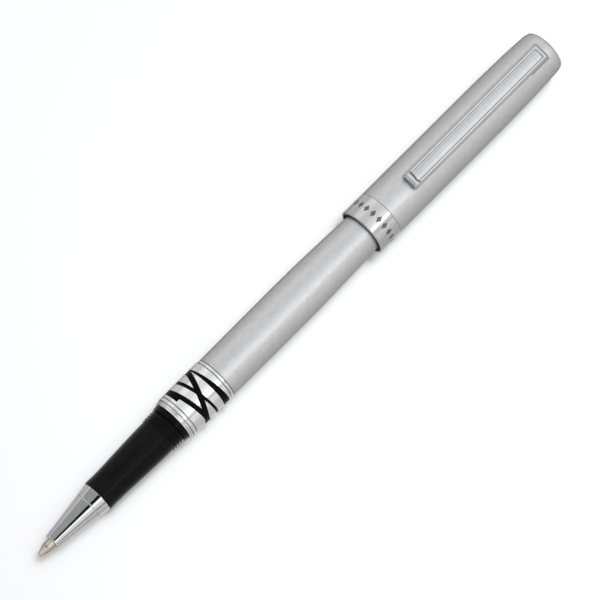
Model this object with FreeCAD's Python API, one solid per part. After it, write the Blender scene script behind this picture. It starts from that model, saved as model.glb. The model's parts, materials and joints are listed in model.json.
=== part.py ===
import FreeCAD, Part
import math
import os

# Rollerball pen, lying on its back with its cap posted on the barrel's tail.
# X runs from the writing ball to the closed end of the cap, +Z is up and the clip is on top.
# Shapes are drawn about the pen's own axis, at y = 0 and z = 0, and lifted at the end so that
# the widest ring, the cap band, touches z = 0. Sizes are in millimetres.

V = FreeCAD.Vector

# Driving dimensions: stations along the pen, from its middle.
BALL_FRONT = -83.6
NOSE_OPENING = -79.3
COLLAR_FRONT = -67.9
GRIP_FRONT = -65.0
CAP_THREAD_FRONT = -46.0
GRIP_FLARE = -42.2
LIP_RING_FRONT = -40.9
FRONT_RING_FRONT = -39.9
TRIM_BAND_FRONT = -38.9
REAR_RING_FRONT = -27.8
REAR_RING_REAR = -26.9
BARREL_FRONT = -26.85
CAP_MOUTH = 20.9
BARREL_TAIL = 38.9
CAP_NECK_FRONT = 21.9
CAP_NECK_REAR = 27.4
CAP_TAPER = 62.1
CAP_END = 83.6

# Driving dimensions: radii.
BALL_RADIUS = 0.35
TIP_RADIUS = 1.2
REFILL_RADIUS = 3.0
NOSE_OPENING_RADIUS = 1.9
COLLAR_FRONT_RADIUS = 3.48
COLLAR_REAR_RADIUS = 3.89
GRIP_WAIST_RADIUS = 4.06
TRIM_BAND_RADIUS = 5.65
BARREL_FRONT_RADIUS = 5.48
BARREL_MOUTH_RADIUS = 4.97
SPIGOT_RADIUS = 4.6
CAP_RADIUS = 6.2
CAP_BAND_RADIUS = 6.25

# Hidden fits: the radius that two pieces share, and where the shared length ends.
NOSE_STUB_RADIUS = 3.05
NOSE_STUB_REAR = -64.9
COLLAR_SLEEVE_RADIUS = 3.5
COLLAR_SLEEVE_REAR = -56.0
BUSH_FRONT = -50.0
BUSH_SOCKET_RADIUS = 3.9
RING_BORE_RADIUS = 4.45
BARREL_BUSH_RADIUS = 4.7
BARREL_BUSH_REAR = -12.0
BARREL_BORE_RADIUS = 4.4
TAIL_BORE_RADIUS = 3.7
REFILL_BORE_RADIUS = 2.65
REFILL_TUBE_FRONT = -62.0
REFILL_TUBE_REAR = 23.0
RESERVOIR_REAR = 19.5
WICK_RADIUS = 0.8
CAP_BORE_RADIUS = 5.4
CAP_MOUTH_BORE_RADIUS = 5.68
CAP_NECK_RADIUS = 5.9
LINER_RADIUS = 5.35
LINER_REAR = 66.9

# The cap's thread on the grip, and its mate in the cap's liner.
CAP_PITCH = 0.8
CAP_THREAD_ROOT = 4.6
CAP_THREAD_CREST = 4.85
LINER_THREAD_SETBACK = 0.3
LINER_THREAD_TURNS = 6.2
LINER_MINOR = 4.65
LINER_MAJOR = 4.93
LINER_BORE = 4.95
NOSE_CUP_BORE = 4.3

# The thread between the section and the barrel.
SECTION_PITCH = 1.0
SECTION_THREAD_START = -26.2
SECTION_THREAD_TURNS = 6
SECTION_ROOT = 3.65
SECTION_CREST = 4.05
BUSH_MINOR = 3.8
BUSH_MAJOR = 4.2
THREAD_SIDE_GAP = 0.08

# Clearances and small edges.
RUNNING_GAP = 0.1
TIP_GAP = 0.07
SOCKET_GAP = 0.03
EDGE = 0.12
THREAD_SINK = 0.1

# The clip and its slot in the cap.
CLIP_FRONT = 35.2
CLIP_REAR = 80.5
CLIP_WIDTH = 4.6
CLIP_TOP_START = 36.3
CLIP_TOP_END = 79.8
CLIP_TOP_FRONT = 8.0
CLIP_TOP_REAR = 7.5
CLIP_ROOT_FRONT = 75.1
CLIP_TANG_BOTTOM = 3.9
RECESS_WIDTH = 2.7
RIDGE_WIDTH = 3.5
RECESS_DEPTH = 0.3
FLANK_FALL = 0.8
SLOT_GAP = 0.2
SLOT_SIDE_GAP = 0.15
POCKET_FLOOR = 3.6

# The lozenges round the cap band.
LOZENGE_COUNT = 20
LOZENGE_STATION = 24.4
LOZENGE_HALF_LENGTH = 1.0
LOZENGE_HALF_WIDTH = 0.62
LOZENGE_FLOOR_RADIUS = 6.1

# The enamel bands of the trim band, and how far the slabs that shape them reach from the axis.
INLAY_DEPTH = 0.25
SLAB_REACH = 8.0


def line_run(points):
    """Straight edges through points of (station, radius)."""
    corners = [V(x, 0, r) for x, r in points]
    return [Part.LineSegment(a, b).toShape() for a, b in zip(corners, corners[1:])]


def curve_run(points):
    """One smooth edge through points of (station, radius)."""
    curve = Part.BSplineCurve()
    curve.interpolate([V(x, 0, r) for x, r in points])
    return [curve.toShape()]


def arc_run(first, middle, last):
    """An arc through three points of (station, radius)."""
    return [Part.Arc(*[V(x, 0, r) for x, r in (first, middle, last)]).toShape()]


def turned_from(edges):
    """The solid that a closed run of edges makes when it turns about the pen's axis."""
    face = Part.Face(Part.Wire(Part.__sortEdges__(edges)))
    return face.revolve(V(0, 0, 0), V(1, 0, 0), 360)


def turned(points):
    """The solid that a closed outline of (station, radius) makes about the pen's axis."""
    return turned_from(line_run(points + points[:1]))


def trim_ring(front, rear, outer):
    """A plain ring on the section bush, with small chamfers on its outer edges."""
    return turned([
        (front, RING_BORE_RADIUS),
        (front, outer - EDGE),
        (front + EDGE, outer),
        (rear - EDGE, outer),
        (rear, outer - EDGE),
        (rear, RING_BORE_RADIUS),
    ])


def block(x_low, x_high, half_width, z_low, z_high):
    """A box centred on y = 0."""
    corner = V(x_low, -half_width, z_low)
    return Part.makeBox(x_high - x_low, 2 * half_width, z_high - z_low, corner)


def wound(section, start, turns, pitch, radius):
    """The solid that a section makes when it winds to the right about the pen's axis."""
    helix = Part.makeHelix(pitch, pitch * turns, radius)
    solid = Part.Wire(helix.Edges).makePipeShell([section], True, True)
    solid.rotate(V(0, 0, 0), V(0, 1, 0), 90)
    solid.translate(V(start, 0, 0))
    return solid


def thread_ridge(start, turns, pitch, inner, outer, inner_width, outer_width):
    """A screw thread's ridge, of trapezoid section, with its middle at start."""
    section = Part.makePolygon([
        V(inner, 0, -inner_width / 2),
        V(outer, 0, -outer_width / 2),
        V(outer, 0, outer_width / 2),
        V(inner, 0, inner_width / 2),
        V(inner, 0, -inner_width / 2),
    ])
    return wound(section, start, turns, pitch, inner)


# The section: what the hand holds, with its nose and its trim rings.

def nose_cone():
    """The bright cone, bored for the refill's tip and seated on the refill's shoulder."""
    opening_bore = TIP_RADIUS + TIP_GAP
    return turned([
        (NOSE_OPENING, opening_bore),
        (NOSE_OPENING, NOSE_OPENING_RADIUS - 0.25),
        (NOSE_OPENING + 0.08, NOSE_OPENING_RADIUS - 0.08),
        (NOSE_OPENING + 0.3, NOSE_OPENING_RADIUS),
        (COLLAR_FRONT - 0.1, COLLAR_FRONT_RADIUS),
        (COLLAR_FRONT, COLLAR_FRONT_RADIUS - EDGE),
        (COLLAR_FRONT, NOSE_STUB_RADIUS),
        (NOSE_STUB_REAR, NOSE_STUB_RADIUS),
        (NOSE_STUB_REAR, 2.76),
        (-74.4, 1.67),
        (-76.6, 1.62),
        (-76.6, opening_bore),
    ])


def nose_collar():
    """The collar that the nose screws into, with a sleeve that holds it in the grip."""
    return turned([
        (COLLAR_FRONT, NOSE_STUB_RADIUS),
        (COLLAR_FRONT, COLLAR_FRONT_RADIUS - EDGE),
        (COLLAR_FRONT + 0.1, COLLAR_FRONT_RADIUS),
        (GRIP_FRONT, COLLAR_REAR_RADIUS),
        (GRIP_FRONT, COLLAR_SLEEVE_RADIUS),
        (COLLAR_SLEEVE_REAR, COLLAR_SLEEVE_RADIUS),
        (COLLAR_SLEEVE_REAR, REFILL_RADIUS + RUNNING_GAP),
        (NOSE_STUB_REAR, REFILL_RADIUS + RUNNING_GAP),
        (NOSE_STUB_REAR, NOSE_STUB_RADIUS),
    ])


def grip_section():
    """The waisted plastic grip, with the cap's thread and a flared rear end."""
    front_edge = (GRIP_FRONT, 3.98)
    lip_rear = (-63.0, GRIP_WAIST_RADIUS)
    swell = (CAP_THREAD_FRONT - 0.5, 4.61)
    lip = arc_run(front_edge, (-64.2, 4.12), lip_rear)
    flank = curve_run([lip_rear, (-58.5, 4.17), (-56.5, 4.27), (-52.8, 4.42), (-50.1, 4.53), swell])
    rest = line_run([
        swell,
        (CAP_THREAD_FRONT, CAP_THREAD_ROOT),
        (GRIP_FLARE, CAP_THREAD_ROOT),
        (GRIP_FLARE, 4.95),
        (GRIP_FLARE + 0.2, 5.03),
        (LIP_RING_FRONT, 5.2),
        (LIP_RING_FRONT, BUSH_SOCKET_RADIUS),
        (BUSH_FRONT, BUSH_SOCKET_RADIUS),
        (BUSH_FRONT, REFILL_RADIUS + 2 * RUNNING_GAP),
        (COLLAR_SLEEVE_REAR, REFILL_RADIUS + 2 * RUNNING_GAP),
        (COLLAR_SLEEVE_REAR, COLLAR_SLEEVE_RADIUS),
        (GRIP_FRONT, COLLAR_SLEEVE_RADIUS),
        front_edge,
    ])
    first = CAP_THREAD_FRONT + CAP_PITCH / 2
    turns = (GRIP_FLARE - CAP_THREAD_FRONT - CAP_PITCH) / CAP_PITCH
    thread = thread_ridge(
        first, turns, CAP_PITCH, CAP_THREAD_ROOT - THREAD_SINK, CAP_THREAD_CREST, 0.62, 0.24)
    return turned_from(lip + flank + rest).fuse(thread)


def section_bush():
    """The tube that carries the trim rings, joins the grip and screws into the barrel."""
    bore = REFILL_RADIUS + 2 * RUNNING_GAP
    rear = SECTION_THREAD_START + SECTION_THREAD_TURNS * SECTION_PITCH + 0.6
    body = turned([
        (BUSH_FRONT, bore),
        (BUSH_FRONT, BUSH_SOCKET_RADIUS),
        (LIP_RING_FRONT, BUSH_SOCKET_RADIUS),
        (LIP_RING_FRONT, RING_BORE_RADIUS),
        (REAR_RING_REAR, RING_BORE_RADIUS),
        (REAR_RING_REAR, SECTION_ROOT),
        (rear - 0.2, SECTION_ROOT),
        (rear, SECTION_ROOT - 0.2),
        (rear, bore),
    ])
    thread = thread_ridge(
        SECTION_THREAD_START, SECTION_THREAD_TURNS, SECTION_PITCH,
        SECTION_ROOT - THREAD_SINK, SECTION_CREST, 0.7, 0.24)
    return body.fuse(thread)


def trim_lip_ring():
    """The flared ring that the cap's mouth closes against."""
    return turned([
        (LIP_RING_FRONT, RING_BORE_RADIUS),
        (LIP_RING_FRONT, 5.3),
        (LIP_RING_FRONT + 0.3, 5.45),
        (FRONT_RING_FRONT - 0.15, 5.6),
        (FRONT_RING_FRONT, 5.5),
        (FRONT_RING_FRONT, RING_BORE_RADIUS),
    ])


def upright_slab(corners):
    """The prism over (station, side) corners, tall enough to pass through the trim band."""
    points = [V(x, y, -SLAB_REACH) for x, y in corners]
    face = Part.Face(Part.makePolygon(points + points[:1]))
    return face.extrude(V(0, 0, 2 * SLAB_REACH))


def tilted_slab(front_station, front_lean, rear_station, rear_lean):
    """A slab between two upright planes, by their stations on the axis and their lean."""
    return upright_slab([
        (front_station + front_lean * SLAB_REACH, -SLAB_REACH),
        (rear_station + rear_lean * SLAB_REACH, -SLAB_REACH),
        (rear_station - rear_lean * SLAB_REACH, SLAB_REACH),
        (front_station - front_lean * SLAB_REACH, SLAB_REACH),
    ])


def trim_band_inlay():
    """Black enamel bands that fill the grooves of the trim band, flush with its surface."""
    margin = 0.5
    layer = turned([
        (TRIM_BAND_FRONT + margin, TRIM_BAND_RADIUS - INLAY_DEPTH),
        (TRIM_BAND_FRONT + margin, TRIM_BAND_RADIUS),
        (REAR_RING_FRONT - margin, TRIM_BAND_RADIUS),
        (REAR_RING_FRONT - margin, TRIM_BAND_RADIUS - INLAY_DEPTH),
    ])
    near_rear_ring = tilted_slab(-30.4, 0.03, -29.3, 0.15)
    middle = tilted_slab(-33.8, 0.19, -33.0, 0.16)
    near_front_ring = tilted_slab(-36.9, 0.18, -35.7, 0.18)
    across = tilted_slab(-33.9, -0.42, -32.7, -0.42)
    spur = upright_slab([(-38.15, 2.2), (-37.0, 2.2), (-37.0, SLAB_REACH), (-38.15, SLAB_REACH)])
    return layer.common(across.multiFuse([near_rear_ring, middle, near_front_ring, spur]))


def trim_band(inlay):
    """The polished band between the trim rings, with grooves for its inlay."""
    blank = trim_ring(TRIM_BAND_FRONT, REAR_RING_FRONT, TRIM_BAND_RADIUS)
    return blank.cut(inlay)


# The barrel and what stays in it.

def barrel_tube():
    """The lacquered tube, its gentle rear taper and the spigot that the cap is posted on."""
    front_edge = (BARREL_FRONT + 0.2, BARREL_FRONT_RADIUS)
    step = (CAP_MOUTH + 0.4, BARREL_MOUTH_RADIUS)
    flank = curve_run([
        front_edge, (-16.5, 5.54), (-6.0, 5.575), (1.1, 5.56),
        (5.8, 5.475), (9.6, 5.38), (14.0, 5.24), step])
    rest = line_run([
        step,
        (CAP_MOUTH + 0.8, SPIGOT_RADIUS),
        (CAP_NECK_REAR, SPIGOT_RADIUS),
        (BARREL_TAIL - 0.5, 4.3),
        (BARREL_TAIL, 3.9),
        (BARREL_TAIL, TAIL_BORE_RADIUS),
        (CAP_MOUTH, TAIL_BORE_RADIUS),
        (15.0, BARREL_BORE_RADIUS),
        (BARREL_BUSH_REAR, BARREL_BORE_RADIUS),
        (BARREL_BUSH_REAR, BARREL_BUSH_RADIUS),
        (BARREL_FRONT, BARREL_BUSH_RADIUS),
        (BARREL_FRONT, BARREL_FRONT_RADIUS - 0.2),
        front_edge,
    ])
    return turned_from(flank + rest)


def barrel_bush():
    """The brass bush in the barrel's mouth that the section screws into."""
    front = BARREL_FRONT + 0.5
    thread_rear = -19.4
    body = turned([
        (front, BUSH_MINOR + 0.3),
        (front, BARREL_BUSH_RADIUS),
        (BARREL_BUSH_REAR, BARREL_BUSH_RADIUS),
        (BARREL_BUSH_REAR, 3.4),
        (thread_rear + 0.4, 3.4),
        (thread_rear, BUSH_MINOR),
        (front + 0.3, BUSH_MINOR),
    ])
    groove = thread_ridge(
        SECTION_THREAD_START - SECTION_PITCH, SECTION_THREAD_TURNS + 1.6, SECTION_PITCH,
        BUSH_MINOR - 2 * THREAD_SINK, BUSH_MAJOR,
        0.65 + 2 * THREAD_SIDE_GAP, 0.12 + 2 * THREAD_SIDE_GAP)
    return body.cut(groove)


def tail_plug():
    """The domed plug that closes the barrel's tail, with a pin that centres the spring."""
    pin_front = 31.5
    pin_radius = 1.8
    seat = 34.4
    return turned([
        (pin_front, 0),
        (pin_front, pin_radius - 0.3),
        (pin_front + 0.3, pin_radius),
        (seat, pin_radius),
        (seat, TAIL_BORE_RADIUS),
        (BARREL_TAIL, TAIL_BORE_RADIUS),
        (BARREL_TAIL + 0.3, 2.6),
        (BARREL_TAIL + 0.4, 0),
    ])


def refill_spring():
    """The spring that pushes the refill forward, its wire drawn with a ten-sided section."""
    front = 25.3
    rear = 34.1
    turns = 6
    mean_radius = 2.15
    wire_radius = 0.22
    sides = 10
    corners = []
    for index in range(sides + 1):
        angle = 2 * math.pi * index / sides
        corners.append(V(mean_radius + wire_radius * math.cos(angle), 0, wire_radius * math.sin(angle)))
    return wound(Part.makePolygon(corners), front, turns, (rear - front) / turns, mean_radius)


# The refill.

def refill_tube():
    """The refill's plastic body."""
    return turned([
        (REFILL_TUBE_FRONT, REFILL_BORE_RADIUS),
        (REFILL_TUBE_FRONT, REFILL_RADIUS),
        (REFILL_TUBE_REAR, REFILL_RADIUS),
        (REFILL_TUBE_REAR, REFILL_BORE_RADIUS),
    ])


def refill_tip_holder():
    """The tapered plastic front of the refill, plugged into its tube."""
    plug_rear = REFILL_TUBE_FRONT + 4.0
    tip_rear = -74.0
    return turned([
        (-76.5, TIP_RADIUS),
        (-76.5, 1.5),
        (-74.5, 1.55),
        (REFILL_TUBE_FRONT, REFILL_RADIUS),
        (REFILL_TUBE_FRONT, REFILL_BORE_RADIUS),
        (plug_rear, REFILL_BORE_RADIUS),
        (plug_rear, WICK_RADIUS + SOCKET_GAP),
        (tip_rear, WICK_RADIUS + SOCKET_GAP),
        (tip_rear, TIP_RADIUS),
    ])


def refill_tip():
    """The metal tip: a tube that narrows to a socket round the ball."""
    lip = BALL_FRONT + 0.2
    feed_radius = WICK_RADIUS / 2 + SOCKET_GAP
    body = turned([
        (lip, 0),
        (lip, 0.42),
        (-81.0, TIP_RADIUS - 0.02),
        (-80.6, TIP_RADIUS),
        (-74.0, TIP_RADIUS),
        (-74.0, feed_radius),
        (-82.6, feed_radius),
        (-82.7, 0),
    ])
    socket = Part.makeSphere(BALL_RADIUS + SOCKET_GAP, V(BALL_FRONT + BALL_RADIUS, 0, 0))
    ink_hole = Part.makeCylinder(0.15, 1.0, V(BALL_FRONT + BALL_RADIUS, 0, 0), V(1, 0, 0))
    return body.cut(socket).cut(ink_hole)


def writing_ball():
    return Part.makeSphere(BALL_RADIUS, V(BALL_FRONT + BALL_RADIUS, 0, 0))


def ink_wick():
    """The fibre rod that carries ink from the reservoir to the ball."""
    return turned([
        (-82.4, 0),
        (-82.4, WICK_RADIUS / 2),
        (-73.9, WICK_RADIUS / 2),
        (-73.9, WICK_RADIUS),
        (-54.0, WICK_RADIUS),
        (-54.0, 0),
    ])


def ink_reservoir():
    """The fibre bundle that holds the ink, with a socket for the wick."""
    return turned([
        (-57.9, WICK_RADIUS + SOCKET_GAP),
        (-57.9, REFILL_BORE_RADIUS - SOCKET_GAP),
        (RESERVOIR_REAR, REFILL_BORE_RADIUS - SOCKET_GAP),
        (RESERVOIR_REAR, 0),
        (-53.9, 0),
        (-53.9, WICK_RADIUS + SOCKET_GAP),
    ])


def refill_end_plug():
    """The vented plug that closes the refill and centres the spring."""
    vent_radius = 0.4
    nose_radius = 1.7
    flange_rear = REFILL_TUBE_REAR + 2.0
    nose_rear = flange_rear + 1.4
    return turned([
        (REFILL_TUBE_REAR - 3.0, vent_radius),
        (REFILL_TUBE_REAR - 3.0, REFILL_BORE_RADIUS),
        (REFILL_TUBE_REAR, REFILL_BORE_RADIUS),
        (REFILL_TUBE_REAR, REFILL_RADIUS),
        (flange_rear, REFILL_RADIUS),
        (flange_rear, nose_radius),
        (nose_rear - 0.2, nose_radius),
        (nose_rear, nose_radius - 0.2),
        (nose_rear, vent_radius),
    ])


# The cap.

def cap_outline():
    """The cap shell's outer line, from its neck to the middle of its closed end."""
    taper_end = (82.2, 5.67)
    corner_end = (CAP_END - 0.15, 4.5)
    flat_edge = (CAP_END, 2.0)
    neck = line_run([
        (CAP_NECK_FRONT, CAP_NECK_RADIUS),
        (CAP_NECK_REAR, CAP_NECK_RADIUS),
        (CAP_NECK_REAR, CAP_RADIUS - EDGE),
        (CAP_NECK_REAR + EDGE, CAP_RADIUS),
        (CAP_TAPER, CAP_RADIUS),
    ])
    taper = curve_run([(CAP_TAPER, CAP_RADIUS), (69.5, 6.12), (74.5, 6.0), (79.0, 5.83), taper_end])
    corner = arc_run(taper_end, (83.15, 5.2), corner_end)
    crown = arc_run(corner_end, (CAP_END - 0.05, 3.3), flat_edge)
    return neck + taper + corner + crown + line_run([flat_edge, (CAP_END, 0)])


def clip_slot():
    """The space that the clip's tang needs in the cap and its anchor."""
    return block(
        CLIP_ROOT_FRONT - SLOT_GAP, CLIP_REAR + SLOT_GAP,
        CLIP_WIDTH / 2 + SLOT_SIDE_GAP, POCKET_FLOOR, 9.0)


def cap_shell():
    """The drawn metal cap, with the slot for the clip near its closed end."""
    inner_end = CAP_END - 1.6
    inside = line_run([
        (CAP_END, 0),
        (inner_end, 0),
        (inner_end, 4.5),
        (80.4, CAP_BORE_RADIUS),
        (CAP_NECK_FRONT, CAP_BORE_RADIUS),
        (CAP_NECK_FRONT, CAP_NECK_RADIUS),
    ])
    return turned_from(cap_outline() + inside).cut(clip_slot())


def cap_band_blank():
    """The band on the cap's neck, with a rounded lip round the cap's mouth."""
    lip_face = (CAP_MOUTH, 5.85)
    lip_rear = (CAP_MOUTH + 0.4, CAP_BAND_RADIUS)
    lip = arc_run(lip_face, (CAP_MOUTH + 0.12, 6.13), lip_rear)
    rest = line_run([
        lip_rear,
        (CAP_NECK_REAR - EDGE, CAP_RADIUS),
        (CAP_NECK_REAR, CAP_RADIUS - EDGE),
        (CAP_NECK_REAR, CAP_NECK_RADIUS),
        (CAP_NECK_FRONT, CAP_NECK_RADIUS),
        (CAP_NECK_FRONT, CAP_MOUTH_BORE_RADIUS),
        (CAP_MOUTH + 0.06, CAP_MOUTH_BORE_RADIUS),
        (CAP_MOUTH, CAP_MOUTH_BORE_RADIUS + 0.06),
        lip_face,
    ])
    return turned_from(lip + rest)


def lozenge_prisms():
    """A row of lozenges round the cap band, each a prism that stands out along a radius."""
    corners = [
        V(LOZENGE_STATION - LOZENGE_HALF_LENGTH, 0, 0),
        V(LOZENGE_STATION, LOZENGE_HALF_WIDTH, 0),
        V(LOZENGE_STATION + LOZENGE_HALF_LENGTH, 0, 0),
        V(LOZENGE_STATION, -LOZENGE_HALF_WIDTH, 0),
    ]
    first = Part.Face(Part.makePolygon(corners + corners[:1])).extrude(V(0, 0, 8))
    prisms = []
    for index in range(LOZENGE_COUNT):
        prism = first.copy()
        prism.rotate(V(0, 0, 0), V(1, 0, 0), 360 * (index + 0.5) / LOZENGE_COUNT)
        prisms.append(prism)
    return Part.makeCompound(prisms)


def cap_band_motif():
    """Dark enamel lozenges set flush in the cap band."""
    core = Part.makeCylinder(LOZENGE_FLOOR_RADIUS, 10, V(CAP_MOUTH, 0, 0), V(1, 0, 0))
    return cap_band_blank().cut(core).common(lozenge_prisms())


def cap_liner():
    """The plastic liner: a threaded mouth, a bore for the barrel's tail and a closed nose cup."""
    thread_rear = CAP_NECK_FRONT + 4.4
    cup_front = 54.0
    cup_end = LINER_REAR - 1.0
    body = turned([
        (CAP_NECK_FRONT, LINER_BORE),
        (CAP_NECK_FRONT, LINER_RADIUS),
        (LINER_REAR, LINER_RADIUS),
        (LINER_REAR, 0),
        (cup_end, 0),
        (cup_end, NOSE_CUP_BORE),
        (cup_front, NOSE_CUP_BORE),
        (cup_front - 2.0, LINER_BORE),
        (thread_rear + 0.3, LINER_BORE),
        (thread_rear, LINER_MINOR),
        (CAP_NECK_FRONT + 0.3, LINER_MINOR),
    ])
    groove = thread_ridge(
        CAP_MOUTH + LINER_THREAD_SETBACK, LINER_THREAD_TURNS, CAP_PITCH,
        LINER_MINOR - 2 * THREAD_SINK, LINER_MAJOR, 0.72, 0.28)
    return body.cut(groove)


def clip_anchor():
    """The metal cup pressed into the cap's end that holds the clip's tang in a pocket."""
    front = LINER_REAR + 0.3
    bore = 3.0
    rear = 81.6
    body = turned([
        (front, bore),
        (front, LINER_RADIUS),
        (80.0, LINER_RADIUS),
        (rear, 4.4),
        (rear, 0),
        (rear - 0.7, 0),
        (rear - 0.7, bore),
    ])
    return body.cut(clip_slot())


def clip_side():
    """The clip seen from the side: tang, arm and the curled front end that rests on the cap."""
    tang_corner = (CLIP_REAR - 0.05, CLIP_TANG_BOTTOM)
    shoulder = (CLIP_REAR, 6.8)
    top_rear = (CLIP_TOP_END, CLIP_TOP_REAR)
    top_front = (CLIP_TOP_START, CLIP_TOP_FRONT)
    foot = (35.9, 6.28)
    under_front = (38.0, 7.05)
    edges = line_run([tang_corner, shoulder])
    edges += arc_run(shoulder, (80.3, 7.3), top_rear)
    edges += line_run([top_rear, top_front])
    edges += arc_run(top_front, (CLIP_FRONT, 7.15), foot)
    edges += arc_run(foot, (37.1, 6.45), under_front)
    edges += line_run([
        under_front,
        (74.2, 6.6),
        (CLIP_ROOT_FRONT, 6.3),
        (CLIP_ROOT_FRONT, CLIP_TANG_BOTTOM),
        tang_corner,
    ])
    return Part.Face(Part.Wire(Part.__sortEdges__(edges)))


def clip_flank(side):
    """The prism that bevels one long upper edge of the clip."""
    top = CLIP_TOP_FRONT + 0.1
    start = CLIP_FRONT - 1
    outside = CLIP_WIDTH / 2 + 0.2
    corners = [
        V(start, side * RIDGE_WIDTH / 2, top),
        V(start, side * outside, top),
        V(start, side * outside, top - FLANK_FALL),
    ]
    face = Part.Face(Part.makePolygon(corners + corners[:1]))
    return face.extrude(V(CLIP_REAR - CLIP_FRONT + 2, 0, CLIP_TOP_REAR - CLIP_TOP_FRONT))


def clip_recess():
    """The long shallow recess between the two ridges of the clip's top."""
    recess = block(CLIP_TOP_START + 0.7, CLIP_TOP_END - 0.2, RECESS_WIDTH / 2, -RECESS_DEPTH, 1)
    slope = (CLIP_TOP_FRONT - CLIP_TOP_REAR) / (CLIP_TOP_END - CLIP_TOP_START)
    recess.rotate(V(CLIP_TOP_START, 0, 0), V(0, 1, 0), math.degrees(math.atan(slope)))
    recess.translate(V(0, 0, CLIP_TOP_FRONT))
    return recess


def clip():
    """The pressed clip: its side outline across its width, bevelled and recessed on top."""
    face = clip_side()
    face.translate(V(0, -CLIP_WIDTH / 2, 0))
    body = face.extrude(V(0, CLIP_WIDTH, 0))
    return body.cut(clip_recess()).cut(clip_flank(1)).cut(clip_flank(-1))


def sub_parts():
    """Every sub-part by name, about the pen's axis."""
    inlay = trim_band_inlay()
    motif = cap_band_motif()
    return {
        "nose_cone": nose_cone(),
        "nose_collar": nose_collar(),
        "grip_section": grip_section(),
        "section_bush": section_bush(),
        "trim_lip_ring": trim_lip_ring(),
        "trim_front_ring": trim_ring(FRONT_RING_FRONT, TRIM_BAND_FRONT, 5.67),
        "trim_band": trim_band(inlay),
        "trim_band_inlay": inlay,
        "trim_rear_ring": trim_ring(REAR_RING_FRONT, REAR_RING_REAR, 5.57),
        "barrel_tube": barrel_tube(),
        "barrel_bush": barrel_bush(),
        "tail_plug": tail_plug(),
        "refill_spring": refill_spring(),
        "refill_tube": refill_tube(),
        "refill_tip_holder": refill_tip_holder(),
        "refill_tip": refill_tip(),
        "writing_ball": writing_ball(),
        "ink_wick": ink_wick(),
        "ink_reservoir": ink_reservoir(),
        "refill_end_plug": refill_end_plug(),
        "cap_shell": cap_shell(),
        "cap_band": cap_band_blank().cut(motif),
        "cap_band_motif": motif,
        "cap_liner": cap_liner(),
        "clip_anchor": clip_anchor(),
        "clip": clip(),
    }


def main():
    os.makedirs("parts", exist_ok=True)
    for name, shape in sub_parts().items():
        shape.translate(V(0, 0, CAP_BAND_RADIUS))
        shape.exportStep("parts/" + name + ".step")
        print(name, len(shape.Solids), shape.isValid(), round(shape.Volume, 2))


main()
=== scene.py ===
import json
import math

import bmesh
import bpy
from mathutils import Matrix, Vector


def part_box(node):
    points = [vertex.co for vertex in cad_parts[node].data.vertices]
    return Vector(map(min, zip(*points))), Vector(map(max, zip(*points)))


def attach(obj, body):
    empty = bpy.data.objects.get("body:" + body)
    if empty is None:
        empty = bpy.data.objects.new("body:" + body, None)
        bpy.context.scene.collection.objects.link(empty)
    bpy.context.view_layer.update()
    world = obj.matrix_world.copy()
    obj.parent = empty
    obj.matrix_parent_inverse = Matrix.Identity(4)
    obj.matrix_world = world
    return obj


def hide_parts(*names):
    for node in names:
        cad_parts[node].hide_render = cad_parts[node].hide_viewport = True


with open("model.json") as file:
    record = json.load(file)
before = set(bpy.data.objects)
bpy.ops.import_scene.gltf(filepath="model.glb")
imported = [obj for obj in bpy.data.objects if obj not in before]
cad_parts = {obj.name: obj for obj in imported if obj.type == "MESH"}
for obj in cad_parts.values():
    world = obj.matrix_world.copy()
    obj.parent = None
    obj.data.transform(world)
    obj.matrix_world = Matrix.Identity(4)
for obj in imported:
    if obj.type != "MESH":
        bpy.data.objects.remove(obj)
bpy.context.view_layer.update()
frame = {"nodes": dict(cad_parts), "record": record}

# A rollerball pen, built round its CAD frame. Metres, +Z up, the pen's axis along X.
# Outlines are lists of (station along X, radius) in millimetres, in the frame's own places.
MM = 0.001
SEGMENTS = 128
BOOLEAN_SEGMENTS = 160
# Faces that meet at more than this show an edge.
SHARP_ANGLE = math.radians(32)
# Corners nearer than this, in metres, are one corner.
WELD = 0.000002
# Radii in the section, the barrel and the refill that two pieces share.
NOSE_STUB_RADIUS = 3.05
COLLAR_SLEEVE_RADIUS = 3.5
SECTION_BORE = 3.2
BUSH_SOCKET_RADIUS = 3.9
RING_BORE = 4.45
BARREL_BUSH_RADIUS = 4.7
BARREL_BORE = 4.4
TAIL_BORE = 3.7
REFILL_BORE = 2.65
# Radii in the cap. Its mouth is opened out a little, so a dark gap shows round the barrel.
CAP_BORE = 5.4
CAP_NECK_RADIUS = 5.9
CAP_MOUTH_RADIUS = 5.68
LINER_BORE = 4.95
# Radii of the thread roots. A thread raises the points whose radius is this near to its root.
GRIP_THREAD_ROOT = 4.6
BUSH_THREAD_ROOT = 3.65
LINER_THREAD_ROOT = 4.65
ROOT_MATCH = 0.001


def span(node):
    """(front station, rear station, largest radius) of a CAD node, in millimetres."""
    low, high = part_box(node)
    return low.x / MM, high.x / MM, (high.y - low.y) / 2 / MM


AXIS_Z = sum(corner.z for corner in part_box("barrel_tube")) / 2


def grey(value):
    """A neutral colour."""
    return (value, value, value)


# Camera, floor and lights.

FOCAL_LENGTH = 189.0
CAMERA_DISTANCE = 0.716
TIP_LEAN = math.radians(13.0)
CLIP_ROLL = math.radians(3.0)
AIM_STATION = -0.0005
AIM_SIDE = 0.0009


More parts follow.
